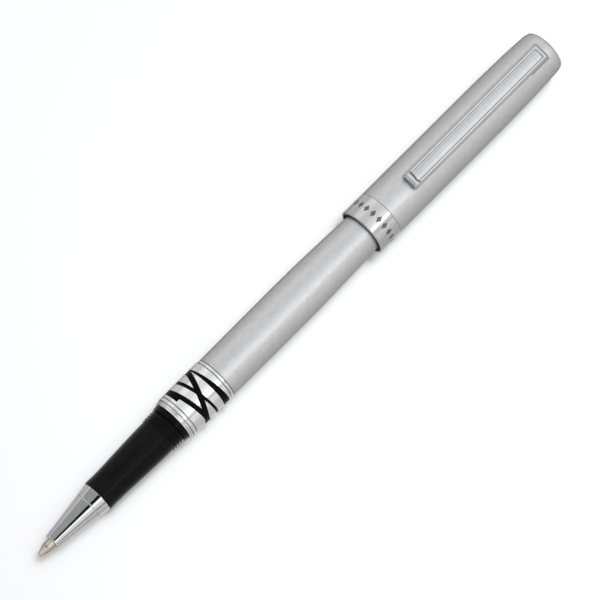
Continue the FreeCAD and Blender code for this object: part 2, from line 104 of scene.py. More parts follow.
def camera_axes():
    """The view's right, up and backward directions: from the nose side, nearly above the clip."""
    lifted = Vector((0, -math.sin(CLIP_ROLL), math.cos(CLIP_ROLL)))
    side = Vector((0, math.cos(CLIP_ROLL), math.sin(CLIP_ROLL)))
    along = Vector((1, 0, 0))
    backward = -math.sin(TIP_LEAN) * along + math.cos(TIP_LEAN) * lifted
    across = math.cos(TIP_LEAN) * along + math.sin(TIP_LEAN) * lifted
    right = (across - side).normalized()
    up = (across + side).normalized()
    return right, up, backward, side


def make_camera():
    """The camera, aimed near the pen's middle."""
    right, up, backward, side = camera_axes()
    aim = Vector((AIM_STATION, 0, AXIS_Z)) - AIM_SIDE * side
    data = bpy.data.cameras.new("camera")
    data.lens = FOCAL_LENGTH
    data.clip_start = 0.01
    camera = bpy.data.objects.new("camera", data)
    bpy.context.scene.collection.objects.link(camera)
    camera.matrix_world = Matrix.Translation(aim + CAMERA_DISTANCE * backward) @ Matrix(
        (right, up, backward)).transposed().to_4x4()
    bpy.context.scene.camera = camera


# The tent by angle across the pen, towards its +Y side: (degrees, brightness, warmth).
TENT_STOPS = [
    (-90, 0.60, 0.03), (-80, 0.76, 0.03), (-62, 0.92, 0.03), (-52, 0.90, 0.02), (-50, 0.74, 0.0),
    (-41, 0.76, 0.0), (-38, 1.00, 0.0), (-22, 1.14, 0.0), (-19, 1.28, 0.0), (-8, 1.26, 0.0),
    (-5, 1.10, -0.01), (9, 1.04, -0.02), (12, 0.92, -0.02), (30, 0.88, -0.02), (44, 0.92, 0.0),
    (47, 1.04, 0.01), (66, 1.02, 0.03), (72, 0.96, 0.03), (84, 0.72, 0.03), (90, 0.55, 0.03)]
TENT_STRENGTH = 1.42
WALL_BRIGHTNESS = 0.55
# How far endways a direction leans where the tent is all wall, and where it is all panels.
WALL_START = 0.88
WALL_END = 0.70


def range_node(nodes, low, high):
    """A node that maps low..high to 0..1."""
    node = nodes.new("ShaderNodeMapRange")
    node.inputs["From Min"].default_value = low
    node.inputs["From Max"].default_value = high
    return node


def tent_ramp(nodes):
    """The colour ramp of the tent's stops."""
    panels = nodes.new("ShaderNodeValToRGB")
    stops = panels.color_ramp.elements
    while len(stops) < len(TENT_STOPS):
        stops.new(0.5)
    for stop, (angle, bright, warm) in zip(stops, TENT_STOPS):
        stop.position = (angle + 90) / 180
        stop.color = (bright * (1 + warm), bright, bright * (1 - warm), 1)
    return panels


def make_world():
    """A studio tent: soft bright panels overhead, run along the pen, and grey walls."""
    world = bpy.data.worlds.new("studio")
    world.use_nodes = True
    nodes = world.node_tree.nodes
    links = world.node_tree.links
    direction = nodes.new("ShaderNodeTexCoord")
    parts = nodes.new("ShaderNodeSeparateXYZ")
    links.new(direction.outputs["Generated"], parts.inputs["Vector"])
    across = nodes.new("ShaderNodeMath")
    across.operation = "ARCTAN2"
    links.new(parts.outputs["Y"], across.inputs[0])
    links.new(parts.outputs["Z"], across.inputs[1])
    share = range_node(nodes, -math.pi / 2, math.pi / 2)
    links.new(across.outputs["Value"], share.inputs["Value"])
    panels = tent_ramp(nodes)
    links.new(share.outputs["Result"], panels.inputs["Fac"])
    endways = nodes.new("ShaderNodeMath")
    endways.operation = "ABSOLUTE"
    links.new(parts.outputs["X"], endways.inputs[0])
    overhead = range_node(nodes, WALL_START, WALL_END)
    links.new(endways.outputs["Value"], overhead.inputs["Value"])
    mix = nodes.new("ShaderNodeMix")
    mix.data_type = "RGBA"
    mix.inputs["A"].default_value = (*grey(WALL_BRIGHTNESS), 1)
    links.new(overhead.outputs["Result"], mix.inputs["Factor"])
    links.new(panels.outputs["Color"], mix.inputs["B"])
    links.new(mix.outputs["Result"], nodes["Background"].inputs["Color"])
    nodes["Background"].inputs["Strength"].default_value = TENT_STRENGTH
    bpy.context.scene.world = world


def aimed(direction, distance):
    """The place of something at a distance from the pen that faces it, with its side along Y."""
    direction = Vector(direction).normalized()
    turn = direction.to_track_quat("Z", "Y").to_matrix().to_4x4()
    return Matrix.Translation(Vector((0, 0, AXIS_Z)) + distance * direction) @ turn


def softbox(name, direction, distance, size, power):
    """A rectangular soft light that looks at the pen from a direction."""
    data = bpy.data.lights.new(name, "AREA")
    data.shape = "RECTANGLE"
    data.size = size[0]
    data.size_y = size[1]
    data.energy = power
    light = bpy.data.objects.new(name, data)
    bpy.context.scene.collection.objects.link(light)
    light.matrix_world = aimed(direction, distance)


def studio_material(name, colour, roughness, metallic):
    """A material for the studio's own surfaces, with a very faint mottle."""
    material = bpy.data.materials.new(name)
    material.use_nodes = True
    nodes = material.node_tree.nodes
    shader = nodes["Principled BSDF"]
    shader.inputs["Roughness"].default_value = roughness
    shader.inputs["Metallic"].default_value = metallic
    noise = nodes.new("ShaderNodeTexNoise")
    noise.inputs["Scale"].default_value = 40
    ramp = nodes.new("ShaderNodeValToRGB")
    ramp.color_ramp.elements[0].color = (*[0.985 * c for c in colour], 1)
    ramp.color_ramp.elements[1].color = (*colour, 1)
    material.node_tree.links.new(noise.outputs["Fac"], ramp.inputs["Fac"])
    material.node_tree.links.new(ramp.outputs["Color"], shader.inputs["Base Color"])
    return material


def card(name, matrix, width, depth, material):
    """A flat rectangle."""
    mesh = bpy.data.meshes.new(name)
    corners = [(-width, -depth, 0), (width, -depth, 0), (width, depth, 0), (-width, depth, 0)]
    mesh.from_pydata([(x / 2, y / 2, z) for x, y, z in corners], [], [(0, 1, 2, 3)])
    mesh.materials.append(material)
    piece = bpy.data.objects.new(name, mesh)
    bpy.context.scene.collection.objects.link(piece)
    piece.matrix_world = matrix
    return piece


FLOOR_SIDE = 6.0
FLAG_HEIGHT = 0.9


def make_floor():
    """A pale satin sheet."""
    sheet = studio_material("floor_sheet", grey(0.72), 0.3, 1.0)
    card("floor", Matrix.Identity(4), FLOOR_SIDE, FLOOR_SIDE, sheet)



def flag(name, x_span, y_span, colour):
    """A card that hangs over the pen, seen only in polished metal. Spans are in metres."""
    middle = Vector((sum(x_span) / 2, sum(y_span) / 2, AXIS_Z + FLAG_HEIGHT))
    cloth = studio_material(name, colour, 1.0, 0.0)
    width = x_span[1] - x_span[0]
    depth = y_span[1] - y_span[0]
    piece = card(name, Matrix.Translation(middle), width, depth, cloth)
    piece.visible_diffuse = False
    piece.visible_shadow = False


def make_flags():
    """The cards that the polished nose shows as a black streak between grey sides."""
    grey_cloth = (0.72, 0.72, 0.73)
    flag("dark_flag", (-0.30, -0.13), (-0.31, 0.04), grey(0.003))
    flag("grey_flag", (-0.55, -0.12), (0.04, 5.0), grey_cloth)
    flag("side_flag", (-0.55, -0.12), (-5.0, -1.5), grey_cloth)


# Outlines and meshes.

def fillet(outline, steps=5):
    """An outline with its corners rounded: a point (x, r, f) gets a radius f.

    A loop of points lies close by each side of a rounded corner, to hold its edges."""
    points = []
    count = len(outline)
    for index, corner in enumerate(outline):
        here = Vector(corner[:2])
        radius = corner[2] if len(corner) > 2 else 0
        if not radius:
            points.append(here)
            continue
        before = (Vector(outline[index - 1][:2]) - here).normalized()
        after = (Vector(outline[(index + 1) % count][:2]) - here).normalized()
        half = before.angle(after) / 2
        reach = radius / math.tan(half)
        centre = here + (before + after).normalized() * (radius / math.sin(half))
        first = here + before * reach
        last = here + after * reach
        hold = min(0.04, radius * 0.4)
        points.append(first + before * hold)
        for step in range(steps + 1):
            arm = (first - centre).slerp(last - centre, step / steps, first - centre)
            points.append(centre + radius * arm.normalized())
        points.append(last + after * hold)
    return [(p[0], p[1]) for p in points]


def curve_through(points, steps=8):
    """Points on a smooth curve through the given ones, Catmull-Rom."""
    given = [Vector(p) for p in points]
    padded = [2 * given[0] - given[1]] + given + [2 * given[-1] - given[-2]]
    made = []
    for index in range(1, len(padded) - 2):
        a, b, c, d = padded[index - 1:index + 3]
        for step in range(steps):
            t = step / steps
            made.append(0.5 * (
                2 * b + (c - a) * t + (2 * a - 5 * b + 4 * c - d) * t * t
                + (3 * b - a - 3 * c + d) * t ** 3))
    made.append(given[-1])
    return [(p[0], p[1]) for p in made]


def finish_mesh(name, mesh, material):
    """An object in the scene for a mesh in metres, shaded smooth except at real edges."""
    mesh.materials.clear()
    mesh.materials.append(material)
    mesh.shade_smooth()
    mesh.set_sharp_from_angle(angle=SHARP_ANGLE)
    piece = bpy.data.objects.new(name + "_visual", mesh)
    bpy.context.scene.collection.objects.link(piece)
    return piece


def turned_mesh(name, outline, segments=SEGMENTS, lift=None):
    """A closed mesh turned about the pen's axis. lift(x, r, angle) may change a point's radius."""
    mesh = bpy.data.meshes.new(name)
    build = bmesh.new()
    rows = []
    for x, r in outline:
        if r < 1e-6:
            rows.append([build.verts.new((x * MM, 0, AXIS_Z))])
            continue
        row = []
        for index in range(segments):
            angle = 2 * math.pi * index / segments
            radius = lift(x, r, angle) if lift else r
            y = radius * MM * math.sin(angle)
            z = AXIS_Z + radius * MM * math.cos(angle)
            row.append(build.verts.new((x * MM, y, z)))
        rows.append(row)
    for index, row in enumerate(rows):
        after = rows[(index + 1) % len(rows)]
        if len(row) == 1 and len(after) == 1:
            continue
        for step in range(segments):
            following = (step + 1) % segments
            if len(row) == 1:
                build.faces.new((row[0], after[following], after[step]))
            elif len(after) == 1:
                build.faces.new((row[step], row[following], after[0]))
            else:
                build.faces.new((row[step], row[following], after[following], after[step]))
    bmesh.ops.recalc_face_normals(build, faces=build.faces)
    build.to_mesh(mesh)
    build.free()
    return mesh


SLOTS = {row["node"]: row["material_slot"] for row in frame["record"]["subparts"]}


def place(node, mesh, material, body):
    """A finished piece for a mesh, which rides on a body and stands for one CAD node."""
    piece = finish_mesh(node, mesh, material)
    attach(piece, body)
    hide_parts(node)


def turned(node, outline, material, body, segments=SEGMENTS, lift=None):
    """A turned piece that rides on a body and stands for a CAD node."""
    place(node, turned_mesh(node, outline, segments, lift), material, body)


def lofted_mesh(name, rings):
    """A closed mesh over rings of the same number of points, with a face at each end."""
    mesh = bpy.data.meshes.new(name)
    build = bmesh.new()
    rows = [[build.verts.new(point) for point in ring] for ring in rings]
    count = len(rows[0])
    for row, after in zip(rows, rows[1:]):
        for step in range(count):
            following = (step + 1) % count
            build.faces.new((row[step], row[following], after[following], after[step]))
    build.faces.new(rows[0])
    build.faces.new(rows[-1])
    bmesh.ops.recalc_face_normals(build, faces=build.faces)
    build.to_mesh(mesh)
    build.free()
    return mesh


def prism_mesh(name, corners, low, high):
    """A closed prism: (x, y) corners in millimetres, pushed from height low to high."""
    mesh = bpy.data.meshes.new(name)
    build = bmesh.new()
    bottom = [build.verts.new((x * MM, y * MM, AXIS_Z + low * MM)) for x, y in corners]
    face = build.faces.new(bottom)
    grown = bmesh.ops.extrude_face_region(build, geom=[face])
    moved = [v for v in grown["geom"] if isinstance(v, bmesh.types.BMVert)]
    bmesh.ops.translate(build, verts=moved, vec=(0, 0, (high - low) * MM))
    bmesh.ops.recalc_face_normals(build, faces=build.faces)
    build.to_mesh(mesh)
    build.free()
    return mesh


def boolean(mesh, tools, operation):
    """mesh after a boolean with each of the tool meshes, one after the other."""
    holder = bpy.data.objects.new("holder", mesh)
    bpy.context.scene.collection.objects.link(holder)
    for tool in tools:
        cutter = bpy.data.objects.new("cutter", tool)
        bpy.context.scene.collection.objects.link(cutter)
        modifier = holder.modifiers.new("cut", "BOOLEAN")
        modifier.operation = operation
        modifier.solver = "EXACT"
        modifier.object = cutter
        graph = bpy.context.evaluated_depsgraph_get()
        result = bpy.data.meshes.new_from_object(holder.evaluated_get(graph))
        holder.modifiers.clear()
        holder.data = result
        bpy.data.objects.remove(cutter)
    result = holder.data
    bpy.data.objects.remove(holder)
    build = bmesh.new()
    build.from_mesh(result)
    bmesh.ops.remove_doubles(build, verts=build.verts, dist=WELD)
    bmesh.ops.dissolve_degenerate(build, edges=build.edges, dist=WELD)
    build.to_mesh(result)
    build.free()
    return result


def thread_wave(x, angle, start, end, pitch, rise, crest=0.3, flank=0.2):
    """How far a right-hand thread stands up at a station and angle, faded out at its ends."""
    turn = (x - start) / pitch + angle / (2 * math.pi)
    phase = abs((turn % 1.0) - 0.5) * 2
    height = min(1.0, max(0.0, (1 - phase - (1 - crest - 2 * flank)) / (2 * flank)))
    fade = min(1.0, max(0.0, min(x - start, end - x) / (0.5 * pitch)))
    return rise * height * fade


def thread_lift(root, start, end, pitch, rise):
    """The lift of a thread: it raises the points whose radius is its root."""
    def lift(x, r, angle):
        if abs(r - root) < ROOT_MATCH:
            return r + thread_wave(x, angle, start, end, pitch, rise)
        return r
    return lift


# Materials.

def link(material, source, target):
    """Joins one socket of a material's nodes to another."""
    material.node_tree.links.new(source, target)


def noise_node(material, scale, stretch=(1, 1, 1), detail=3.0):
    """A noise texture on the piece's own coordinates, stretched along each axis."""
    nodes = material.node_tree.nodes
    place_on = nodes.new("ShaderNodeTexCoord")
    mapping = nodes.new("ShaderNodeMapping")
    mapping.inputs["Scale"].default_value = stretch
    noise = nodes.new("ShaderNodeTexNoise")
    noise.inputs["Scale"].default_value = scale
    noise.inputs["Detail"].default_value = detail
    link(material, place_on.outputs["Object"], mapping.inputs["Vector"])
    link(material, mapping.outputs["Vector"], noise.inputs["Vector"])
    return noise


def ramp_node(material, source, low, high, start=0.3, end=0.7):
    """A colour ramp from low to high, driven by source."""
    ramp = material.node_tree.nodes.new("ShaderNodeValToRGB")
    ramp.color_ramp.elements[0].position = start
    ramp.color_ramp.elements[1].position = end
    ramp.color_ramp.elements[0].color = (*low, 1)
    ramp.color_ramp.elements[1].color = (*high, 1)
    link(material, source, ramp.inputs["Fac"])
    return ramp


def finish_material(name, low, high, rough, metallic=0.0, mottle=(300, (1, 1, 1)),
                    grain=(4000, (1, 1, 1)), bump=0.05, bump_size=0.00002, coat=0.0,
                    specular=0.5, edge_tint=1.0):
    """A shader whose colour, roughness and relief each vary at their own scale.

    low and high are colours, rough the lowest and highest roughness, and mottle and grain
    are (scale, stretch) of the slow and of the fine variation."""
    material = bpy.data.materials.new(name)
    material.use_nodes = True
    shader = material.node_tree.nodes["Principled BSDF"]
    shader.inputs["Metallic"].default_value = metallic
    shader.inputs["Specular IOR Level"].default_value = specular
    # An edge_tint below one darkens the reflections, for a metal most towards its outline: painted
    # shade.
    shader.inputs["Specular Tint"].default_value = (edge_tint, edge_tint, edge_tint, 1)
    shader.inputs["Coat Weight"].default_value = coat
    shader.inputs["Coat Roughness"].default_value = 0.08
    slow = noise_node(material, *mottle)
    fine = noise_node(material, *grain, detail=2.0)
    colour = ramp_node(material, slow.outputs["Fac"], low, high)
    link(material, colour.outputs["Color"], shader.inputs["Base Color"])
    spread = material.node_tree.nodes.new("ShaderNodeMapRange")
    spread.inputs["From Min"].default_value = 0.3
    spread.inputs["From Max"].default_value = 0.7
    spread.inputs["To Min"].default_value = rough[0]
    spread.inputs["To Max"].default_value = rough[1]
    link(material, fine.outputs["Fac"], spread.inputs["Value"])
    link(material, spread.outputs["Result"], shader.inputs["Roughness"])
    relief = material.node_tree.nodes.new("ShaderNodeBump")
    relief.inputs["Strength"].default_value = bump
    relief.inputs["Distance"].default_value = bump_size
    link(material, fine.outputs["Fac"], relief.inputs["Height"])
    link(material, relief.outputs["Normal"], shader.inputs["Normal"])
    return material


MATERIALS = {
    # The satin's low edge_tint darkens the outlines of the barrel and the cap as painted shade.
    "satin_lacquer": finish_material(
        "satin_lacquer", (0.42, 0.425, 0.43), (0.46, 0.465, 0.47), (0.36, 0.46), metallic=0.95,
        mottle=(900, (1, 1, 1)), grain=(9000, (1, 1, 1)), bump=0.12, edge_tint=0.3),
    "bright_chrome": finish_material(
        "bright_chrome", (0.53, 0.535, 0.54), (0.56, 0.565, 0.57), (0.03, 0.09), metallic=1.0,
        mottle=(250, (1, 1, 1)), grain=(2500, (0.15, 1, 1)), bump=0.02, edge_tint=0.6),
    # The cap band's and the clip's chrome: a little rougher than the bright chrome, and darker in
    # colour as painted shade.
    "chrome_painted_shade": finish_material(
        "chrome_painted_shade", (0.40, 0.405, 0.41), (0.44, 0.445, 0.45), (0.05, 0.12), metallic=1.0,
        mottle=(250, (1, 1, 1)), grain=(2500, (1, 1, 1)), bump=0.03, edge_tint=0.5),
    "black_plastic": finish_material(
        "black_plastic", grey(0.002), grey(0.004), (0.12, 0.22), specular=0.11, edge_tint=0.5,
        mottle=(400, (1, 1, 1)), grain=(5000, (1, 1, 1)), bump=0.06),
    "black_enamel": finish_material(
        "black_enamel", grey(0.002), grey(0.004), (0.3, 0.45), specular=0.03, edge_tint=0.5,
        mottle=(900, (1, 1, 1)), grain=(6000, (1, 1, 1)), bump=0.15),
    "dark_enamel": finish_material(
        "dark_enamel", (0.05, 0.045, 0.035), (0.11, 0.10, 0.08), (0.3, 0.5),
        mottle=(1500, (1, 1, 1)), grain=(7000, (1, 1, 1)), bump=0.2),
    "dark_plastic": finish_material(
        "dark_plastic", grey(0.012), grey(0.02), (0.35, 0.5),
        mottle=(500, (1, 1, 1)), grain=(5000, (1, 1, 1)), bump=0.1),
    "refill_plastic": finish_material(
        "refill_plastic", (0.10, 0.11, 0.13), (0.14, 0.15, 0.17), (0.28, 0.4),
        mottle=(300, (0.1, 1, 1)), grain=(4000, (0.1, 1, 1)), bump=0.08),
    "nickel_silver": finish_material(
        "nickel_silver", (0.34, 0.31, 0.25), (0.43, 0.40, 0.34), (0.1, 0.2), metallic=1.0,
        mottle=(700, (1, 0.2, 0.2)), grain=(9000, (1, 0.1, 0.1)), bump=0.1, edge_tint=0.3),
    "hard_ball": finish_material(
        "hard_ball", grey(0.35), grey(0.45), (0.08, 0.14), metallic=1.0,
        mottle=(2000, (1, 1, 1)), grain=(9000, (1, 1, 1)), bump=0.03),
    "spring_steel": finish_material(
        "spring_steel", grey(0.42), grey(0.52), (0.2, 0.3), metallic=1.0,
        mottle=(800, (1, 1, 1)), grain=(8000, (1, 1, 1)), bump=0.08),
    "turned_brass": finish_material(
        "turned_brass", (0.62, 0.45, 0.18), (0.72, 0.55, 0.26), (0.16, 0.28), metallic=1.0,
        mottle=(400, (1, 0.2, 0.2)), grain=(8000, (1, 0.05, 0.05)), bump=0.12),
    "cast_aluminium": finish_material(
        "cast_aluminium", grey(0.55), grey(0.62), (0.3, 0.42), metallic=1.0,
        mottle=(500, (1, 0.2, 0.2)), grain=(7000, (1, 0.1, 0.1)), bump=0.12),
    "ink_fibre": finish_material(
        "ink_fibre", (0.008, 0.010, 0.03), (0.02, 0.025, 0.06), (0.7, 0.9),
        mottle=(1200, (0.05, 1, 1)), grain=(9000, (0.03, 1, 1)), bump=0.6),
}


# The section: nose, grip and trim rings.

def make_nose():
    """The chrome cone and the collar behind it, one straight taper with a fine seam."""
    front, stub_rear, _ = span("nose_cone")
    collar_front, sleeve_rear, collar_rear_radius = span("nose_collar")
    grip_front = span("grip_section")[0]
    chrome = MATERIALS["bright_chrome"]
    opening = 1.9
    tip_bore = 1.27
    lip = 0.3
    half_seam = 0.01
    slope = (collar_rear_radius - opening) / (grip_front - front - lip)
    cone_rear_radius = opening + slope * (collar_front - front - lip)
    turned("nose_cone", fillet([
        (front, opening, 0.22),
        (collar_front - half_seam, cone_rear_radius, 0.09),
        (collar_front - half_seam, NOSE_STUB_RADIUS),
        (stub_rear, NOSE_STUB_RADIUS),
        (stub_rear, 2.76),
        (-74.4, 1.67),
        (-76.6, 1.62),
        (-76.6, tip_bore),
        (front, tip_bore, 0.08),
    ]), chrome, "section")
    turned("nose_collar", fillet([
        (collar_front + half_seam, cone_rear_radius + half_seam, 0.09),
        (grip_front - half_seam, collar_rear_radius, 0.05),
        (grip_front - half_seam, COLLAR_SLEEVE_RADIUS),
        (sleeve_rear, COLLAR_SLEEVE_RADIUS, 0.1),
        (sleeve_rear, 3.1),
        (collar_front + 3.0, 3.1),
        (collar_front + half_seam, NOSE_STUB_RADIUS),
    ]), chrome, "section")


def make_grip():
    """The waisted grip, with the cap's thread and a flare behind it."""
    front, rear, _ = span("grip_section")
    thread_start = -46.0
    thread_end = -42.2
    row_step = 0.05
    flank = curve_through([
        (-63.9, 4.12), (-63.0, 4.07), (-61.0, 4.09), (-58.5, 4.17), (-56.5, 4.27), (-52.8, 4.42),
        (-50.1, 4.53), (-46.5, 4.605)], steps=4)
    rows = 77
    thread = [(thread_start + row_step * step, GRIP_THREAD_ROOT) for step in range(rows)]
    collar_rear = -56.0
    bush_front = -50.0
    rim = [(front, COLLAR_SLEEVE_RADIUS), (front, 3.97, 0.06), (-64.6, 4.11, 0.3)]
    outline = fillet(rim + flank + thread + [
        (thread_end, 5.02, 0.1),
        (rear, 5.2, 0.06),
        (rear, BUSH_SOCKET_RADIUS),
        (bush_front, BUSH_SOCKET_RADIUS),
        (bush_front, SECTION_BORE),
        (collar_rear, SECTION_BORE),
        (collar_rear, COLLAR_SLEEVE_RADIUS),
    ])
    lift = thread_lift(GRIP_THREAD_ROOT, thread_start, thread_end, 0.8, 0.25)
    turned("grip_section", outline, MATERIALS["black_plastic"], "section", segments=192, lift=lift)


def make_section_bush():
    """The brass bush that carries the trim rings and screws into the barrel."""
    front, rear, _ = span("section_bush")
    rings_front = span("trim_lip_ring")[0]
    rings_rear = -26.9
    start = -26.4
    end = -19.9
    row_step = 0.06
    rows = int((end - start) / row_step)
    thread = [(start + row_step * step, BUSH_THREAD_ROOT) for step in range(1, rows)]
    outline = fillet([
        (front, SECTION_BORE),
        (front, BUSH_SOCKET_RADIUS),
        (rings_front, BUSH_SOCKET_RADIUS),
        (rings_front, RING_BORE),
        (rings_rear, RING_BORE, 0.1),
        (rings_rear, BUSH_THREAD_ROOT),
    ] + thread + [(rear, BUSH_THREAD_ROOT, 0.2), (rear, SECTION_BORE)])
    lift = thread_lift(BUSH_THREAD_ROOT, start, end, 1.0, 0.4)
    turned("section_bush", outline, MATERIALS["turned_brass"], "section", lift=lift)


def trim_slabs():
    """Prisms that cut three bands, the one that crosses them, and a short spur."""
    reach = 8.0
    # Each band's front plane and rear plane: the station at the axis, and the lean.
    planes = [
        (-30.4, 0.03, -29.3, 0.15),
        (-33.8, 0.19, -33.0, 0.16),
        (-36.9, 0.18, -35.7, 0.18),
        (-34.0, -0.42, -32.6, -0.42),
    ]
    prisms = []
    for front, front_lean, rear, rear_lean in planes:
        prisms.append([
            (front + front_lean * reach, -reach),
            (rear + rear_lean * reach, -reach),
            (rear - rear_lean * reach, reach),
            (front - front_lean * reach, reach)])
    prisms.append([(-38.15, 2.2), (-37.0, 2.2), (-37.0, reach), (-38.15, reach)])
    return [prism_mesh("slab", corners, -reach, reach) for corners in prisms]


def trim_layer(low, high):
    """A thin ring mesh just under the trim band's surface, from depth high to depth low."""
    front, rear, radius = span("trim_band")
    return turned_mesh("layer", [
        (front + 0.45, radius - low),
        (front + 0.45, radius - high),
        (rear - 0.4, radius - high),
        (rear - 0.4, radius - low)], BOOLEAN_SEGMENTS)


def joined_slabs():
    """The crossing bands' prisms as one mesh."""
    slabs = trim_slabs()
    return boolean(slabs[3], slabs[:3] + slabs[4:], "UNION")


def ring_outline(node, seam, corner):
    """A plain ring with rounded corners and half of a seam at each end."""
    front, rear, radius = span(node)
    seam_floor = 5.2
    return fillet([
        (front, RING_BORE),
        (front, seam_floor),
        (front + seam, seam_floor),
        (front + seam, radius, corner),
        (rear - seam, radius, corner),
        (rear - seam, seam_floor),
        (rear, seam_floor),
        (rear, RING_BORE),
    ])


def make_trim_rings():
    """The lip ring, with a fine groove round it, and the two plain rings."""
    chrome = MATERIALS["bright_chrome"]
    front, rear, radius = span("trim_lip_ring")
    turned("trim_lip_ring", fillet([
        (front, RING_BORE), (front, 5.28, 0.1), (front + 0.3, 5.44, 0.06),
        (front + 0.36, 5.36, 0.03), (front + 0.44, 5.36, 0.03), (front + 0.5, 5.46, 0.05),
        (rear - 0.1, radius, 0.16), (rear - 0.06, 5.25), (rear, 5.25), (rear, RING_BORE),
    ]), chrome, "section")
    for name in ("trim_front_ring", "trim_rear_ring"):
        turned(name, ring_outline(name, 0.05, 0.22), chrome, "section")


def make_trim_band():
    """The polished band, with the crossing bands cut into it and laid in enamel."""
    inlay_floor = 0.18
    inlay_top = 0.05
    groove_floor = 0.16
    above = -0.4
    blank = turned_mesh("blank", ring_outline("trim_band", 0.04, 0.18), BOOLEAN_SEGMENTS)
    grooves = [
        boolean(trim_layer(groove_floor, above), [slab], "INTERSECT") for slab in trim_slabs()]
    band = boolean(blank, grooves, "DIFFERENCE")
    place("trim_band", band, MATERIALS["bright_chrome"], "section")
    inlay = boolean(trim_layer(inlay_floor, inlay_top), [joined_slabs()], "INTERSECT")
    place("trim_band_inlay", inlay, MATERIALS["black_enamel"], "section")


# The barrel.

def make_barrel():
    """The barrel tube, swollen at its middle and stepped down where the cap is posted."""
    front, rear, _ = span("barrel_tube")
    bush_rear = -12.0
    flank = curve_through([
        (front + 0.25, 5.49), (-22.0, 5.515), (-16.5, 5.54), (-6.0, 5.575), (1.1, 5.56),
        (5.8, 5.475), (9.6, 5.38), (14.0, 5.24), (21.2, 4.975)])
    spigot = [(21.7, 4.6, 0.1), (27.4, 4.6, 0.5), (38.5, 4.3, 0.3), (rear, 4.0, 0.15)]
    bore = [
        (rear, TAIL_BORE), (20.9, TAIL_BORE), (15.0, BARREL_BORE), (bush_rear, BARREL_BORE),
        (bush_rear, BARREL_BUSH_RADIUS)]
    outline = fillet([(front, BARREL_BUSH_RADIUS), (front, 5.475, 0.06)] + flank + spigot + bore)
    turned("barrel_tube", outline, MATERIALS["satin_lacquer"], "barrel")


def make_tail_plug():
    """The plug in the barrel's tail, with a boss inside for the spring."""
    boss_front, plug_rear, _ = span("tail_plug")
    barrel_rear = span("barrel_tube")[1]
    flange_front = 34.4
    flange_radius = TAIL_BORE - 0.01
    turned("tail_plug", fillet([
        (boss_front, 0), (boss_front, 1.8, 0.3), (flange_front, 1.8), (flange_front, flange_radius),
        (barrel_rear, flange_radius, 0.08), (barrel_rear + 0.05, 3.5, 0.1), (plug_rear, 1.5, 1.0),
        (plug_rear, 0)]),
        MATERIALS["dark_plastic"], "barrel", segments=96)


def make_spring():
    """The round wire of the refill's spring."""
    front, rear, _ = span("refill_spring")
    wire = 0.22
    radius = 2.15
    turns = 6
    around = 10
    steps = 40 * turns
    along = Vector((1, 0, 0))
    rings = []
    for step in range(steps + 1):
        share = step / steps
        angle = 2 * math.pi * turns * share
        x = front + wire + (rear - front - 2 * wire) * share
        outward = Vector((0, math.sin(angle), math.cos(angle)))
        centre = Vector((x * MM, 0, AXIS_Z)) + radius * MM * outward
        ring = []
        for part in range(around):
            turn = 2 * math.pi * part / around
            ring.append(centre + wire * MM * (outward * math.cos(turn) + along * math.sin(turn)))
        rings.append(ring)
    place("refill_spring", lofted_mesh("refill_spring", rings), MATERIALS["spring_steel"], "barrel")


# The refill.

def make_refill():
    """The refill's tube and its tapered front."""
    plastic = MATERIALS["refill_plastic"]
    tube_front, tube_rear, radius = span("refill_tube")
    turned("refill_tube", fillet([
        (tube_front, REFILL_BORE), (tube_front, radius, 0.05), (tube_rear, radius, 0.08),
        (tube_rear, REFILL_BORE)]),
        plastic, "refill", segments=96)
    holder_front, holder_rear, _ = span("refill_tip_holder")
    tip_rear = span("refill_tip")[1]
    wick_radius = 0.83
    turned("refill_tip_holder", fillet([
        (holder_front, 1.2), (holder_front, 1.5, 0.08), (-74.5, 1.55),
        (tube_front, radius - 0.03, 0.05), (tube_front, REFILL_BORE), (holder_rear, REFILL_BORE),
        (holder_rear, wick_radius), (tip_rear, wick_radius), (tip_rear, 1.2)]),
        plastic, "refill", segments=96)


def make_refill_tip():
    """The metal tube that narrows to the ball's socket."""
    front, rear, radius = span("refill_tip")
    ink_bore = 0.43
    taper = curve_through([
        (front, 0.41), (front + 0.18, 0.47), (-82.2, 0.8), (-81.2, 1.13), (-80.7, radius)], 5)
    turned("refill_tip", [(front + 0.02, 0.34)] + taper + [
        (rear, radius), (rear, ink_bore), (-82.6, ink_bore), (-82.85, 0.15), (-83.2, 0.37)],
        MATERIALS["nickel_silver"], "refill", segments=96)


def make_refill_end_plug():
    """The rear plug, with a vent through it and a flange that closes the tube."""
    plug_front, plug_rear, _ = span("refill_end_plug")
    tube_rear = span("refill_tube")[1]
    vent = 0.4
    nose = 1.7
    flange_rear = 25.0
    flange_radius = 3.0
    turned("refill_end_plug", fillet([
        (plug_front, vent), (plug_front, REFILL_BORE), (tube_rear, REFILL_BORE),
        (tube_rear, flange_radius, 0.05), (flange_rear, flange_radius, 0.15), (flange_rear, nose),
        (plug_rear, nose, 0.2), (plug_rear, vent)]),
        MATERIALS["dark_plastic"], "refill", segments=96)


def make_writing_ball():
    """The ball that turns in the tip's socket."""
    front, _, radius = span("writing_ball")
    steps = 20
    turns = [math.pi * step / steps for step in range(steps + 1)]
    outline = [(front + radius * (1 - math.cos(turn)), radius * math.sin(turn)) for turn in turns]
    turned("writing_ball", outline, MATERIALS["hard_ball"], "ball", segments=40)


# The cap.

